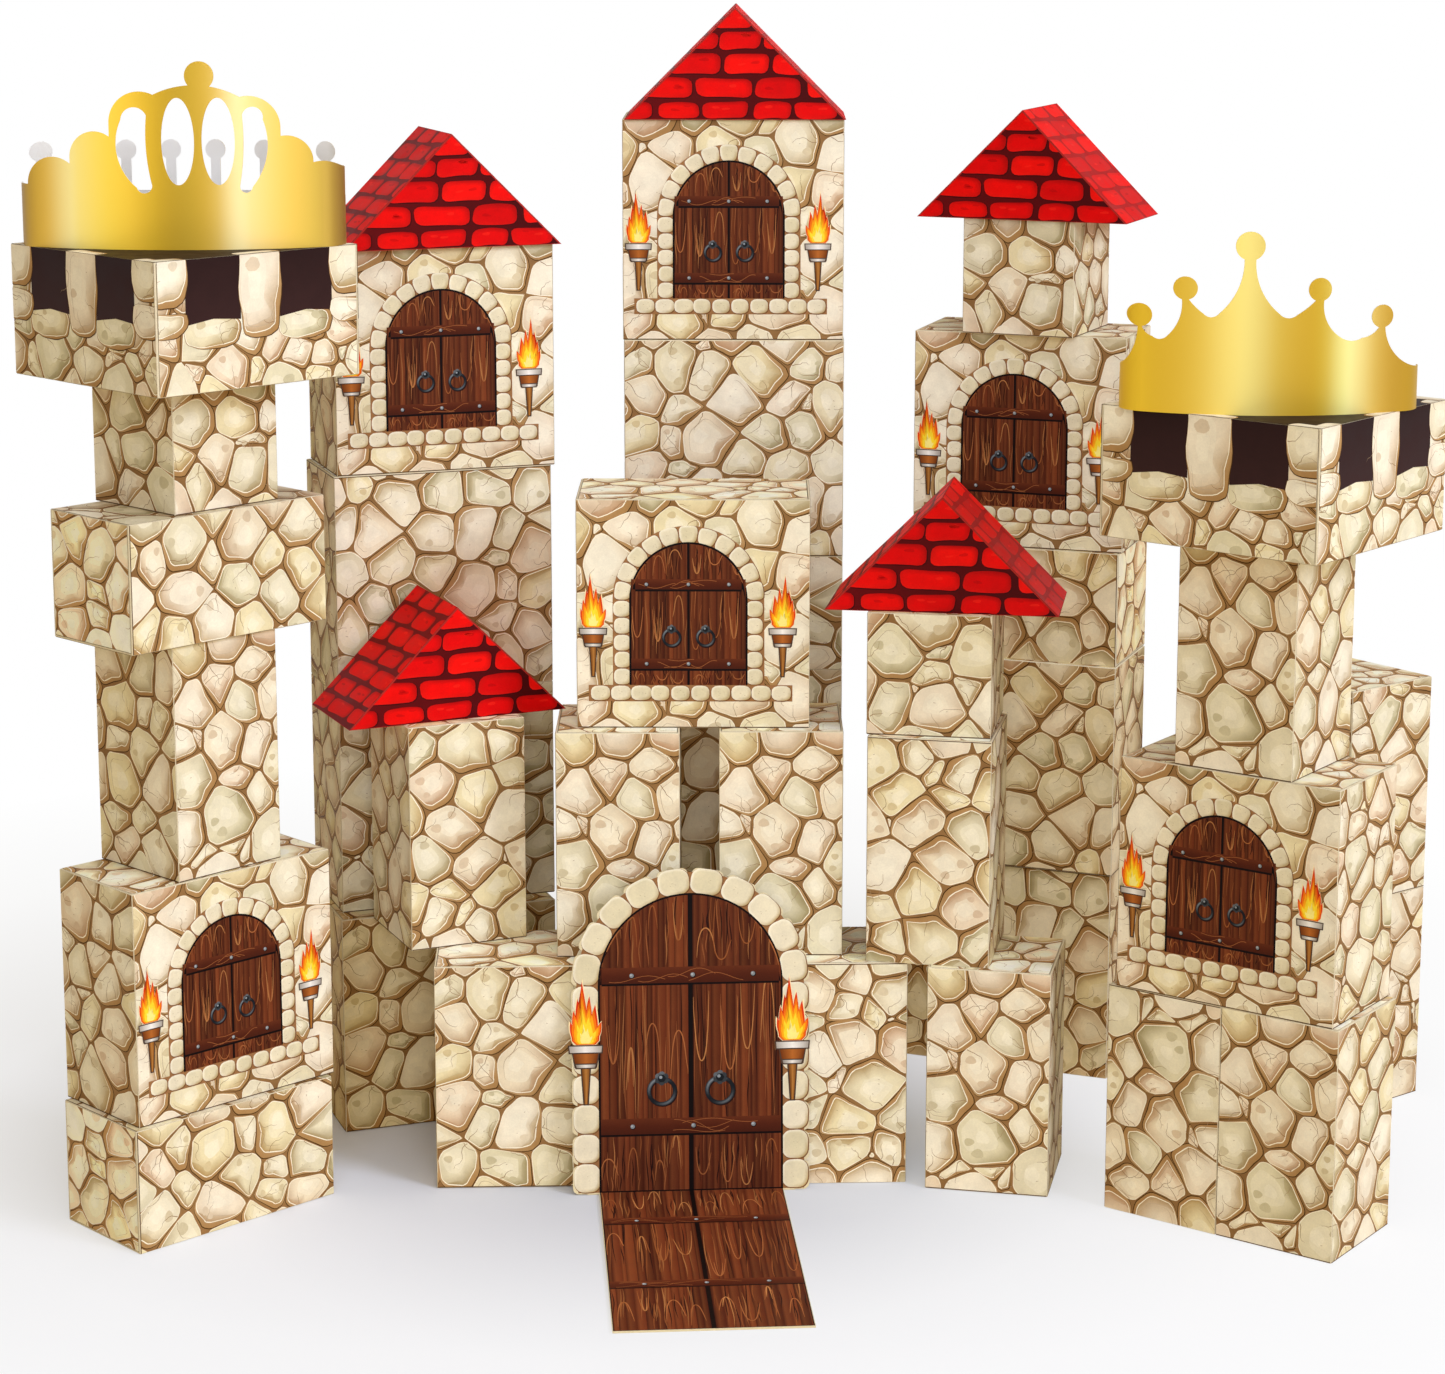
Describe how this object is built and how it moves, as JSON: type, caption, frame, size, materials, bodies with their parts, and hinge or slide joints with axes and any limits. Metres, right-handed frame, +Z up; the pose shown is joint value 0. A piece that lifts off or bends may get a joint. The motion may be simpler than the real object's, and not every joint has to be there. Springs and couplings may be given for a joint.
{
  "type": "cardboard castle",
  "caption": "Play castle stacked from folded, printed cardboard cartons: towers, a gatehouse with an arched gate and drawbridge sheet, red roofs and gold card crowns.",
  "frame": {"origin": "on the floor, under the middle of the castle's overall box", "axes": "+X to the right seen from the gate side, +Y to the back, +Z up"},
  "size_m": [0.9236, 0.5734, 0.755],
  "materials": {
    "stone_card": "satin",
    "window_card": "satin",
    "battlement_card": "satin",
    "gate_card": "satin",
    "roof_card": "satin",
    "gold_card": "gloss"
  },
  "bodies": {
    "root": {"back_left_block_1": "stone_card", "back_left_block_2": "stone_card", "back_left_block_3": "stone_card", "back_left_roof": "roof_card", "back_left_window_block": "window_card", "back_right_block_1": "stone_card", "back_right_block_2": "stone_card", "back_right_cube": "stone_card", "back_right_lying_block": "stone_card", "back_right_roof": "roof_card", "back_right_window_block": "window_card", "far_right_block_1": "stone_card", "far_right_block_2": "stone_card", "front_left_roof": "roof_card", "front_left_standing_block": "stone_card", "front_right_cube": "stone_card", "front_right_foot_block": "stone_card", "front_right_roof": "roof_card", "front_right_standing_block": "stone_card", "gate_and_drawbridge": "gate_card", "gatehouse_block_left": "stone_card", "gatehouse_block_right": "stone_card", "gatehouse_pillar_left": "stone_card", "gatehouse_pillar_right": "stone_card", "gatehouse_window_block": "window_card", "keep_block_1": "stone_card", "keep_block_2": "stone_card", "keep_block_3": "stone_card", "keep_lying_block": "stone_card", "keep_roof": "roof_card", "keep_window_block": "window_card", "left_crown": "gold_card", "left_tower_base_block": "stone_card", "left_tower_battlement": "battlement_card", "left_tower_cube": "stone_card", "left_tower_lying_block": "stone_card", "left_tower_standing_block": "stone_card", "left_tower_window_block": "window_card", "right_crown": "gold_card", "right_tower_base_block_left": "stone_card", "right_tower_base_block_right": "stone_card", "right_tower_battlement": "battlement_card", "right_tower_standing_block": "stone_card", "right_tower_window_block": "window_card"}
  },
  "joints": []
}
